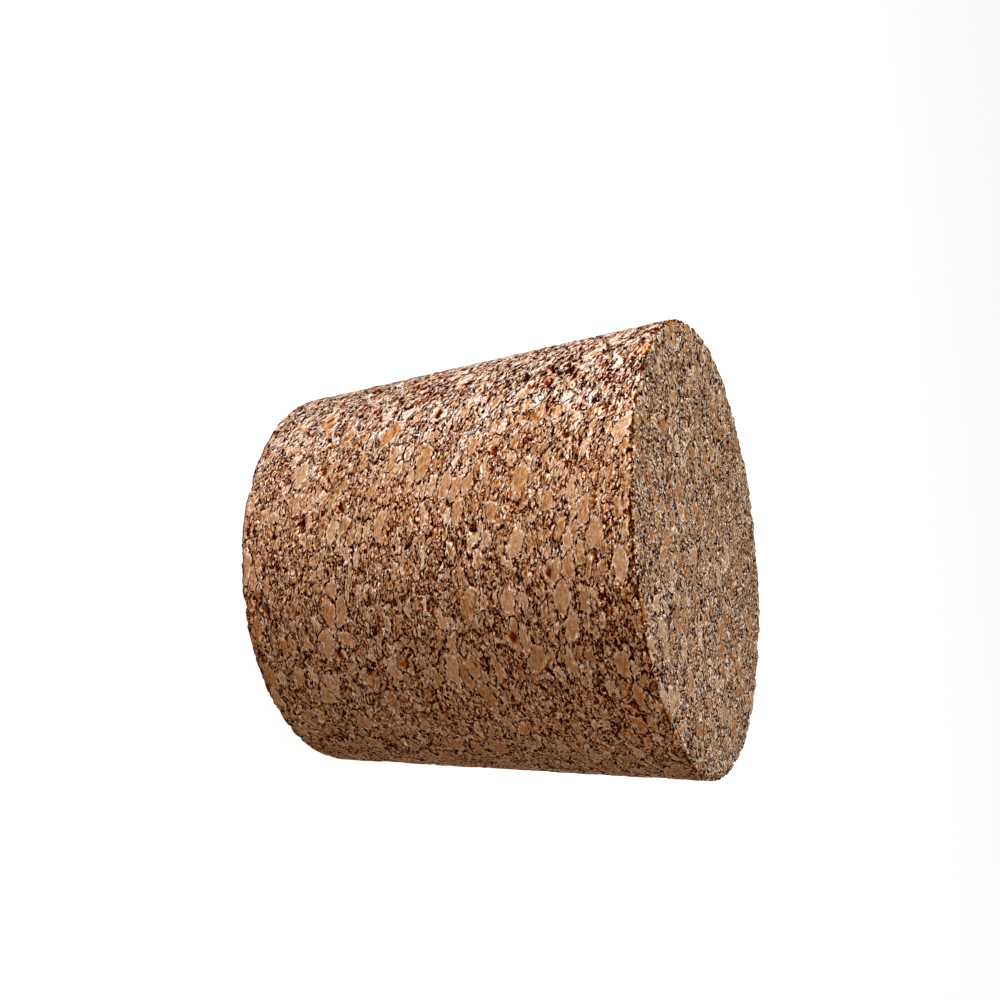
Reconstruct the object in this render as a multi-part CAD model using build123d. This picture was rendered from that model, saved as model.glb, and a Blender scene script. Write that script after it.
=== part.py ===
from build123d import *
import math
import os
import random

# A tapered stopper of pressed cork granules, turned and sanded as one piece.
# It stands on its small end with +Z along its axis, and the origin is the middle of the small end.
# All sizes are in millimetres and all angles in degrees.

LARGE_END_DIAMETER = 44.5
SMALL_END_DIAMETER = 38.5
LENGTH = 40.5
# The sanded bevel at each rim, measured along the face.
LARGE_RIM_BREAK = 0.3
SMALL_RIM_BREAK = 0.4

# Sockets are the small pits that lost granules leave in the sanded skin.
# Their length runs round the stopper, because pressing flattens the granules along the axis.
SOCKET_LENGTH = 1.3
SOCKET_WIDTH = 0.75
SOCKET_DEPTH = 0.42
SIDE_SOCKETS = 110
LARGE_FACE_SOCKETS = 26
SMALL_FACE_SOCKETS = 18
# The middle of each end face is left plain out to this radius.
PLAIN_FACE_RADIUS = 3.0
# Sockets on a side or face stay this far from the rims.
SOCKET_MARGIN = 2.0

# Chips are granules broken out of the rims.
CHIP_LENGTH = 1.5
CHIP_WIDTH = 0.7
CHIP_DEPTH = 0.25
LARGE_RIM_CHIPS = 22
SMALL_RIM_CHIPS = 14
# The widest chip in the large rim, at a bearing round the axis from +X.
BIG_CHIP_BEARING = 11.0
BIG_CHIP_LENGTH = 4.6
BIG_CHIP_WIDTH = 1.4
BIG_CHIP_DEPTH = 0.3

# A socket's outline is a rough polygon whose floor is this share of its mouth.
FLOOR_SHARE = 0.45
FEWEST_CORNERS_COUNT = 4
MOST_CORNERS_COUNT = 6
CORNER_SPREAD = 0.18
SIZE_SPREAD = 0.35
# Sockets follow the golden angle, give or take this many degrees.
GOLDEN_ANGLE = 137.508
BEARING_SPREAD = 10.0
# Chips are evenly spaced, give or take this share of their spacing.
SPACING_SPREAD = 0.4
# A cutter starts this far outside the skin, so that its mouth never lies on the surface.
CUTTER_RISE = 0.3
SEED = 11


def side_lean():
    """Angle between the axis and the side, in radians."""
    return math.atan2((LARGE_END_DIAMETER - SMALL_END_DIAMETER) / 2, LENGTH)


def side_radius(height):
    """Radius of the side at a height above the small end."""
    return SMALL_END_DIAMETER / 2 + height * math.tan(side_lean())


def turned_plug():
    """The plain stopper: a half profile turned about the axis, with a bevel at each rim."""
    small_rim = (SMALL_END_DIAMETER / 2, 0)
    large_rim = (LARGE_END_DIAMETER / 2, LENGTH)
    outline = Polyline((0, 0), small_rim, large_rim, (0, LENGTH), close=True)
    plug = revolve(Plane.XZ * make_face(outline), Axis.Z)
    rims = plug.edges().filter_by(GeomType.CIRCLE).sort_by(Axis.Z)
    plug = chamfer(rims[-1], LARGE_RIM_BREAK)
    rims = plug.edges().filter_by(GeomType.CIRCLE).sort_by(Axis.Z)
    return chamfer(rims[0], SMALL_RIM_BREAK)


def granule_cutter(seat, length, width, depth, rough):
    """A rough many-sided wedge that cuts one granule's socket at a seat plane on the skin."""
    corners = rough.randint(FEWEST_CORNERS_COUNT, MOST_CORNERS_COUNT)
    size = 1 + rough.uniform(-SIZE_SPREAD, SIZE_SPREAD)
    start = rough.uniform(0, 360)
    mouth = []
    for corner in range(corners):
        angle = math.radians(start + 360 * corner / corners)
        reach = size * (1 + rough.uniform(-CORNER_SPREAD, CORNER_SPREAD)) / 2
        mouth.append((length * reach * math.cos(angle), width * reach * math.sin(angle)))
    rise_share = 1 + (1 - FLOOR_SHARE) * CUTTER_RISE / depth
    top = [seat.from_local_coords(Vector(x * rise_share, y * rise_share, CUTTER_RISE)) for x, y in mouth]
    floor = [seat.from_local_coords(Vector(x * FLOOR_SHARE, y * FLOOR_SHARE, -depth)) for x, y in mouth]
    facets = [flat_facet(top), flat_facet(floor)]
    for corner in range(corners):
        facets.append(flat_facet([top[corner - 1], top[corner], floor[corner], floor[corner - 1]]))
    return Solid(Shell(facets))


def flat_facet(corners):
    """One flat face through its corner points."""
    return make_face(Polyline(*corners, close=True)).face()


def side_seat(bearing, height):
    """Plane on the side, with X round the stopper and Z out of the skin."""
    turn = math.radians(bearing)
    radius = side_radius(height)
    outward = Vector(math.cos(turn), math.sin(turn), -math.tan(side_lean())).normalized()
    around = Vector(-math.sin(turn), math.cos(turn), 0)
    return Plane(
        origin=(radius * math.cos(turn), radius * math.sin(turn), height),
        x_dir=around,
        z_dir=outward,
    )


def face_seat(bearing, radius, height, facing, lie):
    """Plane on an end face, facing 1 for the large end and -1 for the small end."""
    turn = math.radians(bearing)
    return Plane(
        origin=(radius * math.cos(turn), radius * math.sin(turn), height),
        x_dir=(math.cos(lie), math.sin(lie), 0),
        z_dir=(0, 0, facing),
    )


def rim_seat(bearing, radius, height, facing, rim_break):
    """Plane on a rim's bevel, half way between the end face and the side."""
    turn = math.radians(bearing)
    slant = math.sqrt(0.5)
    inset = rim_break / 2
    outward = Vector(slant * math.cos(turn), slant * math.sin(turn), slant * facing)
    return Plane(
        origin=(
            (radius - inset) * math.cos(turn),
            (radius - inset) * math.sin(turn),
            height - facing * inset,
        ),
        x_dir=(-math.sin(turn), math.cos(turn), 0),
        z_dir=outward,
    )


def middle_share(place, count):
    """Middle of one of a count of equal steps from 0 to 1."""
    return (2 * place + 1) / (2 * count)


def side_sockets(rough):
    """Pits over the side, spread by the golden angle so that none line up."""
    span = LENGTH - 2 * SOCKET_MARGIN
    cutters = []
    for place in range(SIDE_SOCKETS):
        height = SOCKET_MARGIN + span * middle_share(place, SIDE_SOCKETS)
        bearing = GOLDEN_ANGLE * place + rough.uniform(-BEARING_SPREAD, BEARING_SPREAD)
        seat = side_seat(bearing, height)
        cutters.append(granule_cutter(seat, SOCKET_LENGTH, SOCKET_WIDTH, SOCKET_DEPTH, rough))
    return cutters


def face_sockets(count, end_radius, height, facing, rough):
    """Pits over one end face, from the plain middle out to the margin at the rim."""
    reach = end_radius - SOCKET_MARGIN - PLAIN_FACE_RADIUS
    cutters = []
    for place in range(count):
        radius = PLAIN_FACE_RADIUS + reach * math.sqrt(middle_share(place, count))
        bearing = GOLDEN_ANGLE * place + rough.uniform(-BEARING_SPREAD, BEARING_SPREAD)
        seat = face_seat(bearing, radius, height, facing, rough.uniform(0, math.tau))
        cutters.append(granule_cutter(seat, SOCKET_LENGTH, SOCKET_WIDTH, SOCKET_DEPTH, rough))
    return cutters


def rim_chips(count, end_radius, height, facing, rim_break, rough):
    """Chips round one rim, unevenly spaced."""
    step = 360 / count
    cutters = []
    for place in range(count):
        bearing = step * (place + rough.uniform(-SPACING_SPREAD, SPACING_SPREAD))
        seat = rim_seat(bearing, end_radius, height, facing, rim_break)
        cutters.append(granule_cutter(seat, CHIP_LENGTH, CHIP_WIDTH, CHIP_DEPTH, rough))
    return cutters


def big_chip(rough):
    """The one wide chip that shows in the outline of the large rim."""
    seat = rim_seat(BIG_CHIP_BEARING, LARGE_END_DIAMETER / 2, LENGTH, 1, LARGE_RIM_BREAK)
    return granule_cutter(seat, BIG_CHIP_LENGTH, BIG_CHIP_WIDTH, BIG_CHIP_DEPTH, rough)


def cork_stopper():
    rough = random.Random(SEED)
    small_radius = SMALL_END_DIAMETER / 2
    large_radius = LARGE_END_DIAMETER / 2
    cutters = side_sockets(rough)
    cutters += face_sockets(LARGE_FACE_SOCKETS, large_radius, LENGTH, 1, rough)
    cutters += face_sockets(SMALL_FACE_SOCKETS, small_radius, 0, -1, rough)
    cutters += rim_chips(LARGE_RIM_CHIPS, large_radius, LENGTH, 1, LARGE_RIM_BREAK, rough)
    cutters += rim_chips(SMALL_RIM_CHIPS, small_radius, 0, -1, SMALL_RIM_BREAK, rough)
    cutters.append(big_chip(rough))
    return turned_plug() - cutters


os.makedirs("parts", exist_ok=True)
export_step(cork_stopper(), "parts/cork_stopper.step")
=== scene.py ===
import math

import bpy
from bpy.props import FloatProperty, FloatVectorProperty, IntProperty, PointerProperty
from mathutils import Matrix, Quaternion, Vector


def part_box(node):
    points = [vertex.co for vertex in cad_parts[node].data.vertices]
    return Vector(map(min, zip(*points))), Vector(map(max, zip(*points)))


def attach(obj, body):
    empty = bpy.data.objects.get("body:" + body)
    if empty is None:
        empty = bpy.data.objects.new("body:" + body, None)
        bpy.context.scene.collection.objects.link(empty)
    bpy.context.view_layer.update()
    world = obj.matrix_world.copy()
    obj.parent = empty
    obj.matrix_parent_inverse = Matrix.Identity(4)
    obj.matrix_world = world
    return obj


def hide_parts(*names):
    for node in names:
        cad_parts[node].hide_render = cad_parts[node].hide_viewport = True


bl_info = {
    "name": "Pressed Cork Stopper",
    "version": (1, 0, 0),
    "blender": (4, 5, 0),
    "location": "3D View > Sidebar > Cork",
    "description": "Covers a plain tapered stopper with the skin of pressed and sanded cork granules",
    "category": "Mesh",
}

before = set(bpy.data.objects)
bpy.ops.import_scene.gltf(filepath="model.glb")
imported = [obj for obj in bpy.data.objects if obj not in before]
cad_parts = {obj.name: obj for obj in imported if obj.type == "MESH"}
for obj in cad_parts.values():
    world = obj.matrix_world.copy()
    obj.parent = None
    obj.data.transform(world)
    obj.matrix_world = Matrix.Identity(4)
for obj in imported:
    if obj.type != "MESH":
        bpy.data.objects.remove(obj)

MM = 0.001
NODE = "cork_stopper"
SLOT = "pressed_cork"
BODY = "root"
LOW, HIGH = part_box(NODE)
WHITE = (1.0, 1.0, 1.0, 1.0)

# Names of what the skin's tree leaves on its mesh: a mark that is 1 on the sawn ends, how deep each
# point lies below the plain form in millimetres, and the UV map that the export bakes pictures to.
END_FACE = "cut_end"
DEPTH = "depth"
BAKE_MAP = "OFBake"
# The gap between the parts of the skin on the bake map, on the scale of the stopper.
SHEET_GAP = 1.1 * MM

# Patterns are read in millimetres, so waves are counted for each millimetre.
# Uneven pressing shoves each place by up to about half these reaches. Long bends move whole
# granules, and a fine fraying moves their outlines. The shares are for X, for Y and along the axis.
BEND = {"reach": 1.6, "waves": 0.5, "detail": 1.0}
FRAY = {"reach": 0.6, "waves": 2.4, "detail": 2.0, "roughness": 0.6}
SHOVE_SHARES = (1.0, 1.0, 0.5)
# The layers of granules lie aslant: they fall by this much for each millimetre along X and Y.
LEAN_X = 0.14
LEAN_Y = -0.28
# Crumbs are less flat than whole granules, by this factor.
CRUMB_FLATNESS = 0.8
# Half widths of the cracks in millimetres, round a crumb and round each larger size of granule.
CRUMB_CRACK = 0.038
GRANULE_CRACKS = (0.085, 0.11, 0.135)
# The share of each larger size's cells that are kept. The sizes below fill the other cells.
KEPT_SHARES = (0.76, 0.52, 0.28)
# Moves each size's cells away from the others, so that they don't share a middle.
SIZE_SHIFT = 7.3
# Most of a noise's values lie in this span, so patterns are stretched out of it.
NOISE_SPAN = (0.38, 0.62)
# Cracks widen and narrow along their way, between these shares of their width.
CRACK_NOISE = {"waves": 2.6, "detail": 2.0, "roughness": 0.55}
CRACK_SHARES = (0.05, 1.55)
# A crack's walls slope from the first share of its half width to the second.
CRACK_WALLS = (0.35, 1.3)
# A crack is fully dark where it has this share of its width or more. Its darkness falls towards the
# second value where it closes up.
DARK_CRACK_SHARE = 1.2
FAINTEST_CRACK = 0.25
# The pale rim beside a crack is a painted highlight, as if the crack's edge caught the light. It fades
# from the first distance in millimetres to the second ones, which are for crumbs and for the largest
# granules. Along the crack it varies, down to the last share.
HIGHLIGHT_START = 0.03
HIGHLIGHT_ENDS = (0.1, 0.34)
FAINTEST_HIGHLIGHT = 0.15

# The granules in the colours of a sawn end are smaller than those on the side by this factor.
END_SHRINK = 1.35
# A granule's size runs from 0 in crumbs to 1 in the largest. All granules are above the first of
# these sizes, and from the second on they have their full share of their own colour.
CRUMBS_END = 0.3
FULL_COLOUR_SIZE = 0.6
# Shades for a granule's random tone, with 1 for plain cork. Crumbs and the largest granules use
# these shares of the tone's range.
TONE_STOPS = ((0.0, 0.3), (0.06, 0.6), (0.15, 0.85), (0.5, 1.0), (0.8, 1.25), (1.0, 1.85))
TONE_SPREADS = (0.72, 0.52)
# Crumbs are paler than granules by this factor.
CRUMB_SHADE = 1.06
# Grain is fine mottling, pressed flat by a factor. Over a span of its noise, it multiplies the shade
# by the first of two factors up to the second.
GRAIN_FLATNESS = 2.7
GRAIN_NOISE = {"waves": 2.3, "detail": 3.0, "roughness": 0.75}
GRAIN_SPAN = (0.3, 0.7)
GRAIN_SHADES = (0.65, 1.35)
# Light and shade are painted on the side of the stopper that faces the key lamp. This starts at the
# first place along X in millimetres and is full from the second. A pair of values "for each side"
# is for the plain side and for this lit side with painted light and shade.
PAINTED_LIGHT_SIDE = (-8.0, -18.0)
# Strokes are short dashes on the plain side, and on the lit side long streaks that are painted shadow
# where dark and painted highlight where pale. The shifts set their noise apart from other noise, and
# the drop makes more of the streaks dark.
DASHES = {"flatness": 1.6, "shift": (31.0, 17.0, 5.0), "waves": 2.8}
SHADOW_STREAKS = {"flatness": 3.0, "shift": (5.0, 31.0, 17.0), "waves": 1.05}
STROKE_DETAIL = 1.0
SHADOW_STREAK_DROP = 0.02
# How boldly strokes show in the largest granules, for each side. In crumbs they show fully.
GRANULE_STROKES = (0.15, 0.6)
# Strokes turn pale over one span of their noise and dark over the other, by these shares, of which
# the dark ones are for each side.
PALE_SPAN = (0.54, 0.62)
PALE_STROKE = 0.5
DARK_SPAN = (0.445, 0.385)
DARK_STROKES = (0.75, 0.9)
# How much paler the rims of crumbs and of the largest granules are, as painted highlights, and how
# dark the cracks are, partly as the cork's dark joints and partly as painted shade in the gaps.
HIGHLIGHT_STRENGTHS = (0.6, 0.95)
GAP_DARKNESS_AND_SHADE = 0.94
# Painted shade in pits and chips: the shade is multiplied by the first share down to the first depth
# in millimetres, and falls to the second share at the second depth.
PIT_DEPTHS = (0.15, 0.42)
PIT_PAINTED_SHADES = (0.92, 0.32)
# The power and the factor that the shade is given, and its highest value, for each side. On the lit
# side the higher power and factor and lower cap paint shadows and highlights. The sawn ends add to
# the power.
CONTRASTS = (1.06, 1.4)
BRIGHTNESSES = (0.98, 1.2)
PALEST_SHADES = (2.3, 1.6)
END_CONTRAST = 0.4
# The powers of the shade that make green and blue, for each side: in plain or pale cork, and in cork
# that is darker than plain by DARK_CORK or more. On the lit side they colour its painted light and
# shade.
DARK_CORK = 0.35
PALE_GREEN_POWERS = (1.5, 1.87)
DARK_GREEN_POWERS = (2.4, 3.4)
PALE_BLUE_POWERS = (2.15, 3.3)
DARK_BLUE_POWERS = (5.2, 7.5)
# Multiplies the lit side's red, green and blue, which tints its painted light and shade.
PAINTED_LIGHT_TINT = (1.0, 0.95, 0.75)
# Where the four crumb colours lie along a granule's random hue, and the share of their own colour
# that the larger granules take in their place.
HUE_PLACES = (0.0, 0.35, 0.75, 1.0)
GRANULE_HUE = 0.75
# Heights of the bump in millimetres, for cracks, a granule's random tone, grain and strokes.
GAP_HEIGHT = -0.2
TONE_HEIGHT = 0.05
GRAIN_HEIGHT = 0.12
STROKE_HEIGHT = 0.3
# Roughness of plain cork and of the cracks, and the level of the highlights.
ROUGHNESS = (0.62, 0.95)
SPECULAR = 0.02

# Corners nearer than this are merged, which joins the skin's side to its ends.
MERGE_DISTANCE = 0.02 * MM
# The rays that find the solid start this far outside the skin, and are this long.
RAY_RISE = 0.6 * MM
RAY_LENGTH = 2.0 * MM
# A rim crumbles from the first distance to its edge and fully from the second, where its noise is
# high in the span.
RIM_BAND = (0.9 * MM, 0.2 * MM)
CRUMBLING_NOISE = {"waves": 0.75, "detail": 2.0, "roughness": 0.6}
CRUMBLING_SPAN = (0.5, 0.62)

# The width of the camera's sensor in millimetres, and how near and far it sees in metres.
SENSOR_WIDTH = 36.0
NEAREST_SEEN = 0.01
FARTHEST_SEEN = 20.0


def as_light(red, green, blue):
    """A colour given as screen values from 0 to 255, as the light values that shaders use."""
    def light(value):
        share = value / 255
        return share / 12.92 if share <= 0.04045 else ((share + 0.055) / 1.055) ** 2.4

    return light(red), light(green), light(blue)


def opaque(colour):
    return (*colour, 1.0)


def size_of(name, description, millimetres):
    return FloatProperty(
        name=name, description=description, default=millimetres * MM, min=0.0, unit="LENGTH", precision=5
    )


def share_of(name, description, default):
    return FloatProperty(name=name, description=description, default=default, min=0.0, max=1.0)


def colour_of(name, description, colour):
    return FloatVectorProperty(
        name=name, description=description, default=colour, min=0.0, max=1.0, subtype="COLOR"
    )


def place_of(name, description, place):
    return FloatVectorProperty(
        name=name, description=description, default=place, subtype="TRANSLATION", unit="LENGTH"
    )


def power_of(name, description, watts):
    return FloatProperty(name=name, description=description, default=watts, min=0.0, unit="POWER")


class CorkGranuleSettings(bpy.types.PropertyGroup):
    crumb: size_of("Crumb", "Width of the crumbs that fill the space between granules", 0.56)
    small: size_of("Small Granule", "Width of the small granules", 1.0)
    middle: size_of("Middle Granule", "Width of the middle granules", 1.7)
    large: size_of("Large Granule", "Width of the large granules", 2.7)
    flatness: FloatProperty(
        name="Flatness",
        description="How many times wider than tall the granules are",
        default=2.3,
        min=0.5,
    )
    cracks: FloatProperty(
        name="Cracks",
        description="Width of the cracks, as a share of their usual width",
        default=1.1,
        min=0.0,
    )
    # Wider cracks on the lit side paint shadow into the cracks.
    lit_cracks: FloatProperty(
        name="Lit Cracks",
        description="Width of the cracks on the worn side, as a share of their usual width",
        default=1.6,
        min=0.0,
    )
    lost: share_of("Lost Crumbs", "Share of the crumbs that have fallen out", 0.03)
    red_cork: colour_of("Red Cork", "The reddest crumbs", as_light(169, 111, 71))
    brown_cork: colour_of("Brown Cork", "Crumbs redder than most", as_light(166, 114, 72))
    tan_cork: colour_of("Tan Cork", "Crumbs yellower than most", as_light(163, 117, 74))
    yellow_cork: colour_of("Yellow Cork", "The yellowest crumbs", as_light(158, 120, 76))
    whole_cork: colour_of("Granule", "The larger granules", as_light(160, 122, 90))
    end_cork: colour_of("End Face", "The sawn ends", as_light(150, 115, 80))


class CorkSkinSettings(bpy.types.PropertyGroup):
    small_end: size_of("Small End", "Diameter of the small end", 38.5)
    large_end: size_of("Large End", "Diameter of the large end", 44.5)
    length: size_of("Length", "Length from end to end", (HIGH.z - LOW.z) / MM)
    crack_depth: size_of("Crack Depth", "Depth of the cracks between granules", 0.12)
    lost_depth: size_of("Lost Depth", "Further depth where a crumb has fallen out", 0.1)
    sanding: size_of("Sanding", "Difference in height between hard and soft granules", 0.12)
    small_crumbling: size_of("Small End Crumbling", "Depth lost from the small end's rim", 0.12)
    large_crumbling: size_of("Large End Crumbling", "Depth lost from the large end's rim", 0.42)
    panels: IntProperty(
        name="Panels", description="Faces along a quarter of the rim", default=116, min=8, max=120
    )
    rows: IntProperty(name="Rows", description="Rows of faces from rim to rim", default=140, min=8, max=150)


class CorkStageSettings(bpy.types.PropertyGroup):
    camera_place: place_of("Camera Place", "Where the camera stands", (0.0, -0.13376, 0.0759))
    camera_aim: place_of("Camera Aim", "The point the camera looks at", (-0.006558, -0.000322, 0.019579))
    camera_roll: FloatProperty(
        name="Camera Roll",
        description="Turn of the camera about its line of sight, which lays the stopper down in the picture",
        default=math.radians(84.15),
        subtype="ANGLE",
    )
    focal_share: FloatProperty(
        name="Focal Share",
        description="Focal length as a share of the picture's width",
        default=1.41835,
        min=0.1,
    )
    lamp_aim: place_of("Lamp Aim", "The point the lamps face", (0.0, 0.0, 0.02))
    key_place: place_of("Key Place", "Where the key lamp stands", (-0.383, -0.14, 0.23))
    key_size: size_of("Key Size", "Width of the key lamp", 140.0)
    key_power: power_of("Key Power", "Power of the key lamp", 5.9)
    key_colour: colour_of("Key Colour", "Colour of the key lamp", (0.788, 0.873, 1.0))
    fill_place: place_of("Fill Place", "Where the fill lamp stands", (0.15, -0.5, 0.25))
    fill_size: size_of("Fill Size", "Width of the fill lamp", 400.0)
    fill_power: power_of("Fill Power", "Power of the fill lamp", 2.0)
    fill_colour: colour_of("Fill Colour", "Colour of the fill lamp", (1.0, 0.79, 0.6))
    back_place: place_of("Back Place", "Where the lamp behind the stopper stands", (0.2, 0.45, 0.045))
    back_size: size_of("Back Size", "Width of the back lamp", 80.0)
    back_power: power_of("Back Power", "Power of the back lamp", 2.5)
    back_colour: colour_of("Back Colour", "Colour of the back lamp", (1.0, 0.88, 0.76))
    room_colour: colour_of("Room Colour", "Colour of the light from all round", (1.0, 0.8, 0.66))
    room_level: share_of("Room Level", "Strength of the light from all round", 0.2)
    floor_size: size_of("Floor Size", "Width of the floor", 6000.0)
    floor_grey: share_of("Floor Grey", "How much of the lamps' light the floor throws back", 0.25)
    floor_glow: share_of("Floor Glow", "How bright the floor shows to the camera by itself", 0.92)


class Wiring:
    """Adds nodes to one shader or geometry tree and links them, so that a pattern reads as a formula."""

    def __init__(self, tree):
        self.tree = tree

    def node(self, kind, **settings):
        node = self.tree.nodes.new(kind)
        for name, value in settings.items():
            setattr(node, name, value)
        return node

    def feed(self, socket, value):
        """Gives a socket a value, which is a number, a colour or another node's output."""
        if isinstance(value, bpy.types.NodeSocket):
            self.tree.links.new(value, socket)
        else:
            socket.default_value = value

    def feed_all(self, node, values):
        for name, value in values.items():
            self.feed(node.inputs[name], value)
        return node

    def feed_in_order(self, node, values):
        for socket, value in zip(node.inputs, values):
            self.feed(socket, value)
        return node.outputs[0]

    def maths(self, operation, *values, clamp=False):
        return self.feed_in_order(self.node("ShaderNodeMath", operation=operation, use_clamp=clamp), values)

    def total(self, first, *others):
        for other in others:
            first = self.maths("ADD", first, other)
        return first

    def product(self, first, *others):
        for other in others:
            first = self.maths("MULTIPLY", first, other)
        return first

    def less(self, first, second):
        return self.maths("SUBTRACT", first, second)

    def vector(self, operation, *values):
        return self.feed_in_order(self.node("ShaderNodeVectorMath", operation=operation), values)

    def scaled(self, vector, factor):
        node = self.node("ShaderNodeVectorMath", operation="SCALE")
        self.feed(node.inputs[0], vector)
        self.feed(node.inputs["Scale"], factor)
        return node.outputs[0]

    def parts_of(self, vector):
        node = self.node("ShaderNodeSeparateXYZ")
        self.feed(node.inputs[0], vector)
        return node.outputs

    def joined(self, x, y, z):
        return self.feed_in_order(self.node("ShaderNodeCombineXYZ"), (x, y, z))

    def ramp(self, value, low, high, at_low=0.0, at_high=1.0, smooth=True):
        """A value's way from low to high, as a smooth or straight step between two results."""
        node = self.node("ShaderNodeMapRange", interpolation_type="SMOOTHSTEP" if smooth else "LINEAR")
        return self.feed_in_order(node, (value, low, high, at_low, at_high))

    def blend(self, share, first, second):
        """First at a share of 0 and second at 1, for numbers."""
        node = self.node("ShaderNodeMix", data_type="FLOAT")
        for socket, value in zip((node.inputs[0], node.inputs[2], node.inputs[3]), (share, first, second)):
            self.feed(socket, value)
        return node.outputs[0]

    def blend_colour(self, share, first, second, how="MIX"):
        """First at a share of 0 and second at 1, for colours."""
        node = self.node("ShaderNodeMix", data_type="RGBA", blend_type=how)
        for socket, value in zip((node.inputs[0], node.inputs[6], node.inputs[7]), (share, first, second)):
            self.feed(socket, value)
        return node.outputs[2]

    def noise(self, place, waves, detail=2.0, roughness=0.5):
        """Noise with a number of waves in each unit of place, as its value and its colour."""
        node = self.node("ShaderNodeTexNoise", noise_dimensions="3D")
        self.feed_all(node, {"Vector": place, "Scale": waves, "Detail": detail, "Roughness": roughness})
        return node.outputs[0], node.outputs[1]

    def shove(self, place, reach, waves, detail, roughness=0.5):
        """A random vector that is zero on the average."""
        colour = self.noise(place, waves, detail, roughness)[1]
        return self.scaled(self.vector("SUBTRACT", colour, (0.5, 0.5, 0.5)), reach)

    def cells(self, place, feature):
        node = self.node("ShaderNodeTexVoronoi", voronoi_dimensions="3D", feature=feature)
        self.feed_all(node, {"Vector": place, "Scale": 1.0})
        return node.outputs

    def curve(self, value, stops):
        """A number's way through stops of a place and a result, straight between them."""
        result = stops[0][1]
        for (start, low), (end, high) in zip(stops, stops[1:]):
            result = self.total(result, self.ramp(value, start, end, 0.0, high - low, smooth=False))
        return result

    def colours(self, value, stops):
        """A colour ramp through stops of a place and a colour."""
        node = self.node("ShaderNodeValToRGB")
        self.feed(node.inputs[0], value)
        elements = node.color_ramp.elements
        while len(elements) < len(stops):
            elements.new(1.0)
        for element, (place, colour) in zip(elements, stops):
            element.position = place
            element.color = opaque(colour)
        return node.outputs[0]

    def leaning(self, place):
        """The parts of a place, with its height changed so that the layers of granules lie aslant."""
        x, y, z = self.parts_of(place)
        return x, y, self.total(z, self.total(self.product(x, LEAN_X), self.product(y, LEAN_Y)))

    def streaks(self, x, y, z, flatness, shift, waves):
        """Noise pressed flat by a factor, with a shift that sets it apart from other noise."""
        place = self.vector("ADD", self.joined(x, y, self.product(z, flatness)), shift)
        return self.noise(place, waves, STROKE_DETAIL)[0]

    def group(self, tree, values):
        """The outputs of a node that uses a group in this tree, with its values."""
        kind = "ShaderNodeGroup" if tree.bl_idname == "ShaderNodeTree" else "GeometryNodeGroup"
        return self.feed_all(self.node(kind, node_tree=tree), values).outputs


def new_group(kind, name, inputs, outputs):
    """A node group of a tree kind with named sockets, and its wiring, given values and output node."""
    tree = bpy.data.node_groups.new(name, kind)
    for way, sockets in (("INPUT", inputs), ("OUTPUT", outputs)):
        for socket_name, socket_kind in sockets.items():
            tree.interface.new_socket(socket_name, in_out=way, socket_type="NodeSocket" + socket_kind)
    wiring = Wiring(tree)
    return tree, wiring, wiring.node("NodeGroupInput").outputs, wiring.node("NodeGroupOutput")


LARGER_GRANULES = ("Small Granule", "Middle Granule", "Large Granule")
GRANULE_INPUTS = ("Crumb", *LARGER_GRANULES, "Flatness", "Cracks", "Lost Crumbs")


def granule_values(settings):
    """The granule group's inputs from its settings, apart from its place."""
    sizes = (settings.crumb, settings.small, settings.middle, settings.large)
    return dict(zip(GRANULE_INPUTS, (*sizes, settings.flatness, settings.cracks, settings.lost)))


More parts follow.
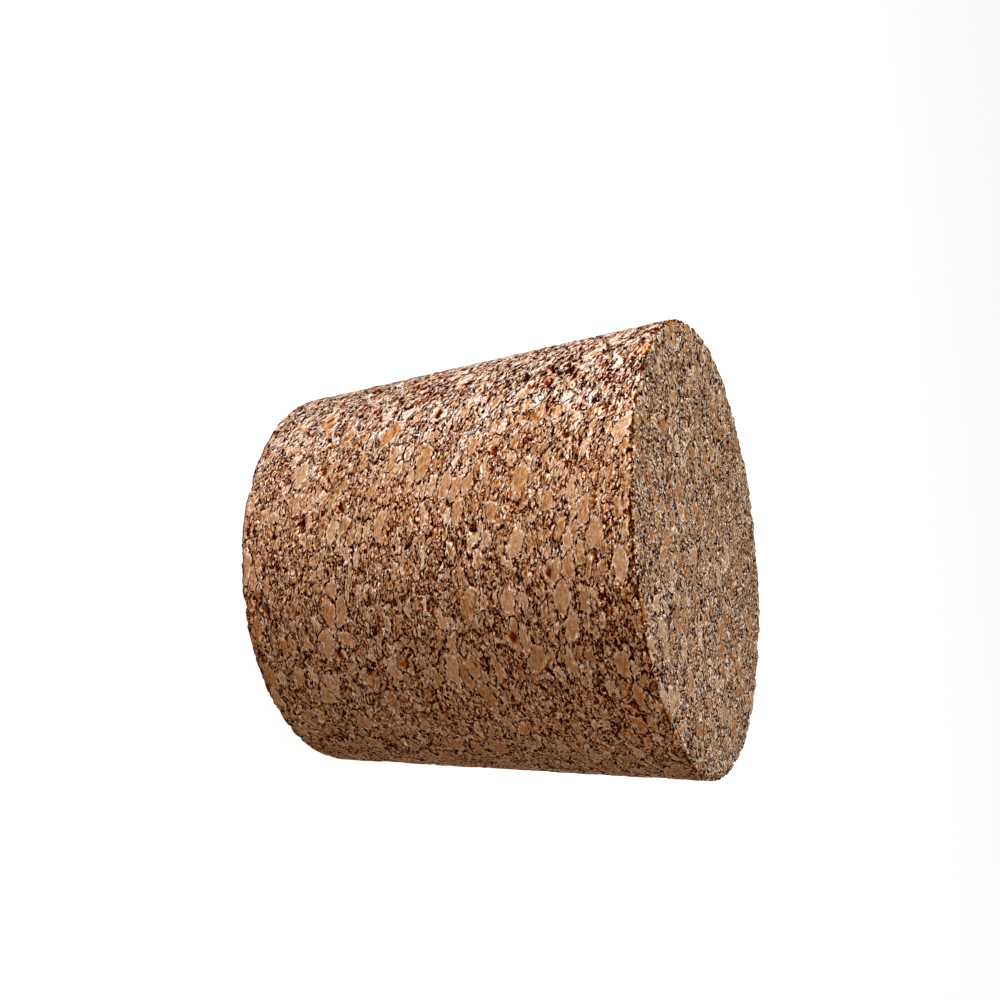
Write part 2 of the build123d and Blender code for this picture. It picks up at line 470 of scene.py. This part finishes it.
def granule_group(kind, name):
    """The pressed granules as a solid pattern, for a tree kind, read at a place in metres.

    Gap is up to 1 in the dark cracks and 1 where crumbs are lost, and Lost is 1 in lost crumbs
    alone. The third output is up to 1 on the pale edges beside cracks, which are painted highlights.
    Tone and Hue are random for each granule.
    Whole is 0 in crumbs and rises with the size of the granule to 1."""
    outputs = ("Gap", "Lost", "Rim", "Tone", "Hue", "Whole")
    tree, w, given, result = new_group(
        kind,
        name,
        {"Place": "Vector", **{each: "Float" for each in GRANULE_INPUTS}},
        {each: "Float" for each in outputs},
    )
    place = w.scaled(given["Place"], 1 / MM)
    bend = w.shove(place, **BEND)
    fray = w.shove(place, **FRAY)
    shoved = w.vector("ADD", place, w.vector("MULTIPLY", w.vector("ADD", bend, fray), SHOVE_SHARES))
    x, y, z = w.leaning(shoved)
    pressed = w.joined(x, y, w.product(z, given["Flatness"]))

    def cells_of(size, shift, flatness=1.0):
        """Distance from the border of a size's cell in millimetres, and the cell's random colour."""
        millimetres = w.maths("DIVIDE", size, MM)
        sized = w.scaled(pressed, w.maths("DIVIDE", 1.0, millimetres))
        moved = w.vector("MULTIPLY_ADD", sized, (1.0, 1.0, flatness), (shift, 2 * shift, 3 * shift))
        nearest = w.cells(moved, "F1")
        edge = w.less(w.cells(moved, "F2")["Distance"], nearest["Distance"])
        return w.product(edge, millimetres, 0.5), nearest["Color"]

    edge, chance = cells_of(given["Crumb"], 0.0, CRUMB_FLATNESS)
    lost = w.maths("LESS_THAN", w.parts_of(chance)[0], given["Lost Crumbs"])
    whole = 0.0
    width = CRUMB_CRACK
    levels = zip(LARGER_GRANULES, KEPT_SHARES, GRANULE_CRACKS)
    for level, (size_name, kept_share, size_crack) in enumerate(levels, start=1):
        size_edge, size_chance = cells_of(given[size_name], SIZE_SHIFT * level)
        kept = w.maths("LESS_THAN", w.parts_of(size_chance)[0], kept_share)
        edge = w.blend(kept, edge, size_edge)
        chance = w.blend_colour(kept, chance, size_chance)
        lost = w.product(lost, w.less(1.0, kept))
        whole = w.blend(kept, whole, level / len(LARGER_GRANULES))
        width = w.blend(kept, width, size_crack)

    uneven_value, uneven_colour = w.noise(pressed, **CRACK_NOISE)
    uneven = w.ramp(uneven_value, *NOISE_SPAN, *CRACK_SHARES)
    width = w.product(width, uneven, given["Cracks"])
    wall_foot, wall_top = (w.product(width, share) for share in CRACK_WALLS)
    crack = w.less(1.0, w.ramp(edge, wall_foot, wall_top))
    crack = w.product(crack, w.ramp(uneven, 0.0, DARK_CRACK_SHARE, FAINTEST_CRACK, 1.0))
    gap = w.maths("MAXIMUM", crack, lost)
    # A pale rim beside each crack is a painted highlight.
    rim = w.less(1.0, w.ramp(w.less(edge, width), HIGHLIGHT_START, w.blend(whole, *HIGHLIGHT_ENDS)))
    patchy = w.ramp(w.parts_of(uneven_colour)[1], *NOISE_SPAN, FAINTEST_HIGHLIGHT, 1.0)
    rim = w.product(rim, w.less(1.0, gap), patchy)
    _, tone, hue = w.parts_of(chance)
    w.feed_all(result, dict(zip(outputs, (gap, lost, rim, tone, hue, whole))))
    return tree


def cork_material(settings):
    """Sanded pressed cork: granules in tan, buff and red brown, with dark cracks that are partly
    painted shade, pale rims that are painted highlights, and painted light and shade on the side
    that faces the key lamp.
    """
    material = bpy.data.materials.new(SLOT)
    material.use_nodes = True
    tree = material.node_tree
    tree.nodes.clear()
    w = Wiring(tree)
    cut_end = w.node("ShaderNodeAttribute", attribute_name=END_FACE).outputs["Fac"]
    place = w.scaled(w.node("ShaderNodeTexCoord").outputs["Object"], w.blend(cut_end, 1.0, END_SHRINK))
    x, y, z = w.leaning(w.scaled(place, 1 / MM))
    # The lit side, toward the key lamp, gets painted light and shade; the sawn ends don't.
    lit = w.product(w.ramp(x, *PAINTED_LIGHT_SIDE), w.less(1.0, cut_end))
    # On the lit side the cracks are wider, as painted shadow.
    cracks = w.blend(lit, settings.cracks, settings.lit_cracks)
    pattern = granule_group("ShaderNodeTree", "Cork granules")
    granules = w.group(pattern, {**granule_values(settings), "Place": place, "Cracks": cracks})
    whole = granules["Whole"]

    # One shade says how pale each point is: above 1 is paler than plain cork, and below 1 darker.
    spread = w.ramp(whole, 0.0, 1.0, *TONE_SPREADS)
    tone = w.total(0.5, w.product(w.less(granules["Tone"], 0.5), spread))
    shade = w.product(w.curve(tone, TONE_STOPS), w.ramp(whole, 0.0, CRUMBS_END, CRUMB_SHADE, 1.0))
    grain = w.noise(w.joined(x, y, w.product(z, GRAIN_FLATNESS)), **GRAIN_NOISE)[0]
    shade = w.product(shade, w.ramp(grain, *GRAIN_SPAN, *GRAIN_SHADES, smooth=False))

    dashes = w.streaks(x, y, z, **DASHES)
    # On the lit side the strokes are streaks of painted shadow and painted highlight.
    shadow_streaks = w.less(w.streaks(x, y, z, **SHADOW_STREAKS), SHADOW_STREAK_DROP)
    strokes = w.blend(lit, dashes, shadow_streaks)
    bold = w.blend(whole, 1.0, w.blend(lit, *GRANULE_STROKES))
    pale_stroke = w.product(w.ramp(strokes, *PALE_SPAN, 0.0, PALE_STROKE), bold)
    dark_stroke = w.product(w.ramp(strokes, *DARK_SPAN, 0.0, w.blend(lit, *DARK_STROKES)), bold)
    # The pale rims beside cracks are painted highlights.
    painted_highlight = w.product(granules["Rim"], w.blend(whole, *HIGHLIGHT_STRENGTHS))
    pale = w.product(w.total(1.0, painted_highlight), w.total(1.0, pale_stroke))
    # Cracks and lost crumbs are dark partly as the cork's joints and partly as painted shade in the gaps.
    dark = w.product(w.less(1.0, w.product(granules["Gap"], GAP_DARKNESS_AND_SHADE)), w.less(1.0, dark_stroke))
    shade = w.product(shade, pale, dark)
    # Deeper points get painted shade, darkest in pits and chips.
    depth = w.node("ShaderNodeAttribute", attribute_name=DEPTH).outputs["Fac"]
    shade = w.product(shade, w.ramp(depth, *PIT_DEPTHS, *PIT_PAINTED_SHADES))
    # On the lit side a higher power and factor, and a lower cap, paint shadows and highlights.
    contrast = w.total(w.blend(lit, *CONTRASTS), w.product(cut_end, END_CONTRAST))
    shade = w.product(w.maths("POWER", shade, contrast), w.blend(lit, *BRIGHTNESSES))
    shade = w.maths("MINIMUM", shade, w.blend(lit, *PALEST_SHADES))

    # Dark cork is redder and pale cork greyer, so green and blue follow the shade by higher powers.
    shadow = w.maths("SUBTRACT", 1.0, shade, clamp=True)

    def power_of_shade(pale_powers, dark_powers):
        ends = w.blend(lit, *pale_powers), w.blend(lit, *dark_powers)
        return w.maths("POWER", shade, w.ramp(shadow, 0.0, DARK_CORK, *ends, smooth=False))

    green = power_of_shade(PALE_GREEN_POWERS, DARK_GREEN_POWERS)
    blue = power_of_shade(PALE_BLUE_POWERS, DARK_BLUE_POWERS)
    tint = w.joined(shade, green, blue)
    # The lit side's tint colours its painted light and shade.
    tint = w.blend_colour(lit, tint, w.vector("MULTIPLY", tint, PAINTED_LIGHT_TINT))
    crumb_colours = (settings.red_cork, settings.brown_cork, settings.tan_cork, settings.yellow_cork)
    hue = w.colours(granules["Hue"], tuple(zip(HUE_PLACES, crumb_colours)))
    own_share = w.ramp(whole, 0.0, FULL_COLOUR_SIZE, 0.0, GRANULE_HUE)
    hue = w.blend_colour(own_share, hue, opaque(settings.whole_cork))
    hue = w.blend_colour(cut_end, hue, opaque(settings.end_cork))

    height = w.total(
        w.product(granules["Gap"], GAP_HEIGHT),
        w.product(granules["Tone"], TONE_HEIGHT),
        w.product(grain, GRAIN_HEIGHT),
        w.product(strokes, bold, STROKE_HEIGHT),
    )
    bump = w.node("ShaderNodeBump")
    bump.inputs["Strength"].default_value = 1.0
    bump.inputs["Distance"].default_value = MM
    w.feed(bump.inputs["Height"], height)

    shader = w.node("ShaderNodeBsdfPrincipled")
    w.feed(shader.inputs["Base Color"], w.blend_colour(1.0, hue, tint, "MULTIPLY"))
    w.feed(shader.inputs["Roughness"], w.ramp(granules["Gap"], 0.0, 1.0, *ROUGHNESS))
    shader.inputs["Specular IOR Level"].default_value = SPECULAR
    w.feed(shader.inputs["Normal"], bump.outputs[0])
    out = w.node("ShaderNodeOutputMaterial")
    w.feed(out.inputs["Surface"], shader.outputs[0])
    return material


SKIN_SIZES = (
    "Small Radius",
    "Large Radius",
    "Length",
    "Crack Depth",
    "Lost Depth",
    "Sanding",
    "Small End Crumbling",
    "Large End Crumbling",
)


def skin_tree():
    """A closed skin over the tapered stopper, drawn on to the solid's own pits and chips."""
    tree, w, given, result = new_group(
        "GeometryNodeTree",
        "Cork skin",
        {
            "Geometry": "Geometry",
            "Solid": "Object",
            "Material": "Material",
            "Panels": "Int",
            "Rows": "Int",
            **{each: "Float" for each in SKIN_SIZES + GRANULE_INPUTS},
        },
        {"Geometry": "Geometry"},
    )
    panels = given["Panels"]
    small = given["Small Radius"]
    large = given["Large Radius"]
    length = given["Length"]

    def grid(columns, lines):
        node = w.node("GeometryNodeMeshGrid")
        corners = {"Vertices X": w.total(columns, 1.0), "Vertices Y": w.total(lines, 1.0)}
        return w.feed_all(node, {"Size X": 1.0, "Size Y": 1.0, **corners}).outputs[0]

    def moved(mesh, place):
        node = w.node("GeometryNodeSetPosition")
        return w.feed_all(node, {"Geometry": mesh, "Position": place}).outputs[0]

    def stored(mesh, name, kind, domain, value):
        node = w.node("GeometryNodeStoreNamedAttribute", data_type=kind, domain=domain)
        return w.feed_all(node, {"Geometry": mesh, "Name": name, "Value": value}).outputs[0]

    # On the bake map the side's two halves lie one above the other, with both ends beside them.
    half_turn = w.product(w.total(small, large), math.pi / 2)
    sheet_width = w.total(half_turn, w.product(large, 2.0), 3 * SHEET_GAP)
    sheet = w.maths("MAXIMUM", sheet_width, w.total(w.product(length, 2.0), 3 * SHEET_GAP))

    def laid_out(mesh, across, up):
        """Stores where the mesh lies on the bake map, on the scale of the stopper."""
        spot = w.joined(w.maths("DIVIDE", across, sheet), w.maths("DIVIDE", up, sheet), 0.0)
        return stored(mesh, BAKE_MAP, "FLOAT2", "CORNER", spot)

    # The side is a flat grid bent into a cone.
    at = w.parts_of(w.node("GeometryNodeInputPosition").outputs[0])
    along, up = w.total(at[0], 0.5), w.total(at[1], 0.5)
    turn = w.product(along, math.tau)
    radius = w.blend(up, small, large)
    side_place = w.joined(
        w.product(radius, w.maths("COSINE", turn)),
        w.product(radius, w.maths("SINE", turn)),
        w.product(up, length),
    )
    face_along = w.node("GeometryNodeFieldOnDomain", domain="FACE", data_type="FLOAT")
    w.feed(face_along.inputs[0], along)
    second_half = w.maths("GREATER_THAN", face_along.outputs[0], 0.5)
    side = laid_out(
        grid(w.product(panels, 4.0), given["Rows"]),
        w.total(w.product(w.less(w.product(along, 2.0), second_half), half_turn), SHEET_GAP),
        w.total(w.product(up, length), w.product(second_half, w.total(length, SHEET_GAP)), SHEET_GAP),
    )
    side = stored(moved(side, side_place), END_FACE, "FLOAT", "FACE", 0.0)

    # A square grid becomes a disc: each square ring turns into a circle, with its corners spread evenly.
    a, b = w.product(at[0], 2.0), w.product(at[1], 2.0)
    wide = w.maths("GREATER_THAN", w.maths("ABSOLUTE", a), w.maths("ABSOLUTE", b))
    reach = w.blend(wide, b, a)
    turn_wide = w.product(w.maths("DIVIDE", b, a), math.pi / 4)
    turn_tall = w.less(math.pi / 2, w.product(w.maths("DIVIDE", a, b), math.pi / 4))
    turn = w.blend(wide, turn_tall, turn_wide)
    round_x = w.product(reach, w.maths("COSINE", turn))
    round_y = w.product(reach, w.maths("SINE", turn))

    def disc(end_radius, height, facing, sheet_foot):
        """One end, facing 1 for up and -1 for down, and how far up the bake map it lies."""
        across = w.product(w.total(w.product(round_x, facing), 1.0), end_radius)
        rise = w.product(w.total(round_y, 1.0), end_radius)
        mesh = laid_out(
            grid(panels, panels),
            w.total(across, half_turn, 2 * SHEET_GAP),
            w.total(rise, sheet_foot),
        )
        place = w.joined(w.product(round_x, end_radius), w.product(round_y, end_radius), height)
        return stored(moved(mesh, place), END_FACE, "FLOAT", "FACE", 1.0)

    turned = w.node("GeometryNodeFlipFaces")
    w.feed(turned.inputs[0], disc(small, 0.0, -1.0, w.total(w.product(large, 2.0), 2 * SHEET_GAP)))
    join = w.node("GeometryNodeJoinGeometry")
    for mesh in (side, disc(large, length, 1.0, SHEET_GAP), turned.outputs[0]):
        tree.links.new(mesh, join.inputs[0])
    merge = w.node("GeometryNodeMergeByDistance")
    w.feed_all(merge, {"Geometry": join.outputs[0], "Distance": MERGE_DISTANCE})
    keep = w.node("GeometryNodeCaptureAttribute")
    keep.capture_items.new("VECTOR", "Outward")
    w.feed(keep.inputs[0], merge.outputs[0])
    w.feed(keep.inputs[1], w.node("GeometryNodeInputNormal").outputs[0])
    outward = keep.outputs[1]

    # A ray from just outside the plain cone finds how deep the solid's own pits and chips are.
    here = w.node("GeometryNodeInputPosition").outputs[0]
    solid = w.node("GeometryNodeObjectInfo")
    w.feed(solid.inputs[0], given["Solid"])
    ray = w.node("GeometryNodeRaycast")
    w.feed_all(
        ray,
        {
            "Target Geometry": solid.outputs["Geometry"],
            "Source Position": w.vector("ADD", here, w.scaled(outward, RAY_RISE)),
            "Ray Direction": w.scaled(outward, -1.0),
            "Ray Length": RAY_LENGTH,
        },
    )
    sunk = w.product(w.less(ray.outputs["Hit Distance"], RAY_RISE), ray.outputs["Is Hit"])

    # The granules' own relief, and the crumbling along both rims.
    pattern = granule_group("GeometryNodeTree", "Cork granule relief")
    granules = w.group(pattern, {"Place": here, **{each: given[each] for each in GRANULE_INPUTS}})
    relief = w.total(
        w.product(granules["Gap"], given["Crack Depth"]),
        w.product(granules["Lost"], given["Lost Depth"]),
        w.product(granules["Tone"], given["Sanding"]),
    )
    x, y, z = w.parts_of(here)
    from_axis = w.maths("SQRT", w.total(w.product(x, x), w.product(y, y)))
    to_side = w.less(w.blend(w.maths("DIVIDE", z, length), small, large), from_axis)
    to_end = w.maths("MINIMUM", z, w.less(length, z))
    near_rim = w.ramp(w.maths("MAXIMUM", to_side, to_end), *RIM_BAND)
    crumbled = w.ramp(w.noise(w.scaled(here, 1 / MM), **CRUMBLING_NOISE)[0], *CRUMBLING_SPAN)
    crumbling = w.ramp(z, 0.0, length, given["Small End Crumbling"], given["Large End Crumbling"])
    sunk = w.total(sunk, relief, w.product(near_rim, crumbled, crumbling))

    mesh = stored(keep.outputs[0], DEPTH, "FLOAT", "POINT", w.maths("DIVIDE", sunk, MM))
    depth = w.node("GeometryNodeInputNamedAttribute", data_type="FLOAT")
    w.feed(depth.inputs["Name"], DEPTH)
    mesh = moved(mesh, w.vector("ADD", here, w.scaled(outward, w.product(depth.outputs[0], -MM))))
    smooth = w.node("GeometryNodeSetShadeSmooth")
    w.feed(smooth.inputs[0], mesh)
    real = w.node("GeometryNodeRealizeInstances")
    w.feed(real.inputs[0], smooth.outputs[0])
    cover = w.node("GeometryNodeSetMaterial")
    w.feed_all(cover, {"Geometry": real.outputs[0], "Material": given["Material"]})
    w.feed(result.inputs[0], cover.outputs[0])
    return tree


def made_by_nodes(name, tree, values):
    """A plain mesh object made by a geometry tree with its input values."""
    source = bpy.data.objects.new(name + "_source", bpy.data.meshes.new(name + "_source"))
    bpy.context.scene.collection.objects.link(source)
    modifier = source.modifiers.new("made", "NODES")
    modifier.node_group = tree
    for socket in tree.interface.items_tree:
        if socket.in_out == "INPUT" and socket.name in values:
            modifier[socket.identifier] = values[socket.name]
    depsgraph = bpy.context.evaluated_depsgraph_get()
    mesh = bpy.data.meshes.new_from_object(source.evaluated_get(depsgraph), depsgraph=depsgraph)
    mesh.name = name
    bpy.data.objects.remove(source)
    piece = bpy.data.objects.new(name, mesh)
    bpy.context.scene.collection.objects.link(piece)
    return piece


class CORK_OT_skin(bpy.types.Operator):
    """Make the stopper's skin of pressed granules"""

    bl_idname = "cork.skin"
    bl_label = "Cork Skin"

    def execute(self, context):
        settings = context.scene.cork_skin
        granules = context.scene.cork_granules
        sizes = (
            settings.small_end / 2,
            settings.large_end / 2,
            settings.length,
            settings.crack_depth,
            settings.lost_depth,
            settings.sanding,
            settings.small_crumbling,
            settings.large_crumbling,
        )
        piece = made_by_nodes(
            "cork_skin",
            skin_tree(),
            {
                "Solid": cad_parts[NODE],
                "Material": cork_material(granules),
                "Panels": settings.panels,
                "Rows": settings.rows,
                **dict(zip(SKIN_SIZES, sizes)),
                **granule_values(granules),
            },
        )
        if not piece.data.polygons:
            raise RuntimeError("The cork skin came out empty")
        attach(piece, BODY)
        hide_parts(NODE)
        return {"FINISHED"}


def add_area_light(name, place, aim, width, power, colour):
    light = bpy.data.lights.new(name, "AREA")
    light.energy = power
    light.size = width
    light.color = colour
    lamp = bpy.data.objects.new(name, light)
    lamp.location = place
    lamp.rotation_mode = "QUATERNION"
    lamp.rotation_quaternion = (Vector(aim) - Vector(place)).to_track_quat("-Z", "Y")
    bpy.context.scene.collection.objects.link(lamp)


def add_camera(settings):
    camera = bpy.data.cameras.new("camera")
    camera.sensor_width = SENSOR_WIDTH
    camera.lens = settings.focal_share * SENSOR_WIDTH
    camera.clip_start = NEAREST_SEEN
    camera.clip_end = FARTHEST_SEEN
    stand = bpy.data.objects.new("camera", camera)
    stand.location = settings.camera_place
    sight = Vector(settings.camera_aim) - Vector(settings.camera_place)
    roll = Quaternion((0.0, 0.0, 1.0), settings.camera_roll)
    stand.rotation_mode = "QUATERNION"
    stand.rotation_quaternion = sight.to_track_quat("-Z", "Y") @ roll
    bpy.context.scene.collection.objects.link(stand)
    bpy.context.scene.camera = stand


def studio_world(settings):
    """A world that shows white to the camera and in reflections, and lights the stopper softly."""
    world = bpy.data.worlds.new("studio")
    world.use_nodes = True
    tree = world.node_tree
    tree.nodes.clear()
    w = Wiring(tree)
    path = w.node("ShaderNodeLightPath")
    shown = w.maths("MAXIMUM", path.outputs["Is Camera Ray"], path.outputs["Is Glossy Ray"])
    shown = w.maths("MAXIMUM", shown, path.outputs["Is Transmission Ray"])
    background = w.node("ShaderNodeBackground")
    w.feed(background.inputs["Color"], w.blend_colour(shown, opaque(settings.room_colour), WHITE))
    w.feed(background.inputs["Strength"], w.blend(shown, settings.room_level, 1.0))
    out = w.node("ShaderNodeOutputWorld")
    w.feed(out.inputs["Surface"], background.outputs[0])
    return world


def floor_material(settings):
    """A matt floor that keeps the stopper's shadow and glows almost white, to the camera alone."""
    material = bpy.data.materials.new("floor")
    material.use_nodes = True
    tree = material.node_tree
    tree.nodes.clear()
    w = Wiring(tree)
    matt = w.node("ShaderNodeBsdfDiffuse")
    w.feed(matt.inputs["Color"], opaque([settings.floor_grey] * 3))
    glow = w.node("ShaderNodeEmission")
    w.feed(glow.inputs["Color"], WHITE)
    path = w.node("ShaderNodeLightPath")
    w.feed(glow.inputs["Strength"], w.product(path.outputs["Is Camera Ray"], settings.floor_glow))
    both = w.node("ShaderNodeAddShader")
    w.feed(both.inputs[0], matt.outputs[0])
    w.feed(both.inputs[1], glow.outputs[0])
    out = w.node("ShaderNodeOutputMaterial")
    w.feed(out.inputs["Surface"], both.outputs[0])
    return material


class CORK_OT_stage(bpy.types.Operator):
    """Make the floor, the lights and the camera"""

    bl_idname = "cork.stage"
    bl_label = "Stage"

    def execute(self, context):
        settings = context.scene.cork_stage
        half = settings.floor_size / 2
        mesh = bpy.data.meshes.new("floor")
        corners = [(-half, -half, 0.0), (half, -half, 0.0), (half, half, 0.0), (-half, half, 0.0)]
        mesh.from_pydata(corners, [], [(0, 1, 2, 3)])
        mesh.materials.append(floor_material(settings))
        floor = bpy.data.objects.new("floor", mesh)
        context.scene.collection.objects.link(floor)
        context.scene.world = studio_world(settings)
        for lamp in ("key", "fill", "back"):
            place, size, power, colour = (
                getattr(settings, lamp + part) for part in ("_place", "_size", "_power", "_colour")
            )
            add_area_light(lamp, place, settings.lamp_aim, size, power, colour)
        add_camera(settings)
        context.scene.view_settings.view_transform = "Standard"
        return {"FINISHED"}


class CORK_PT_panel(bpy.types.Panel):
    """Lists the stopper's operators and sizes"""

    bl_idname = "CORK_PT_panel"
    bl_label = "Pressed Cork Stopper"
    bl_space_type = "VIEW_3D"
    bl_region_type = "UI"
    bl_category = "Cork"

    def draw(self, context):
        scene = context.scene
        self.list_all(scene.cork_granules)
        self.list_all(scene.cork_skin)
        self.layout.operator(CORK_OT_skin.bl_idname)
        self.list_all(scene.cork_stage)
        self.layout.operator(CORK_OT_stage.bl_idname)

    def list_all(self, settings):
        for name in settings.__annotations__:
            self.layout.prop(settings, name)


SETTINGS = {
    "cork_granules": CorkGranuleSettings,
    "cork_skin": CorkSkinSettings,
    "cork_stage": CorkStageSettings,
}
CLASSES = (*SETTINGS.values(), CORK_OT_skin, CORK_OT_stage, CORK_PT_panel)


def register():
    for kind in CLASSES:
        bpy.utils.register_class(kind)
    for name, kind in SETTINGS.items():
        setattr(bpy.types.Scene, name, PointerProperty(type=kind))


def unregister():
    for name in SETTINGS:
        delattr(bpy.types.Scene, name)
    for kind in reversed(CLASSES):
        bpy.utils.unregister_class(kind)


def main():
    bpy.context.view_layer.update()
    register()
    bpy.ops.cork.skin()
    bpy.ops.cork.stage()


if __name__ == "__main__":
    main()
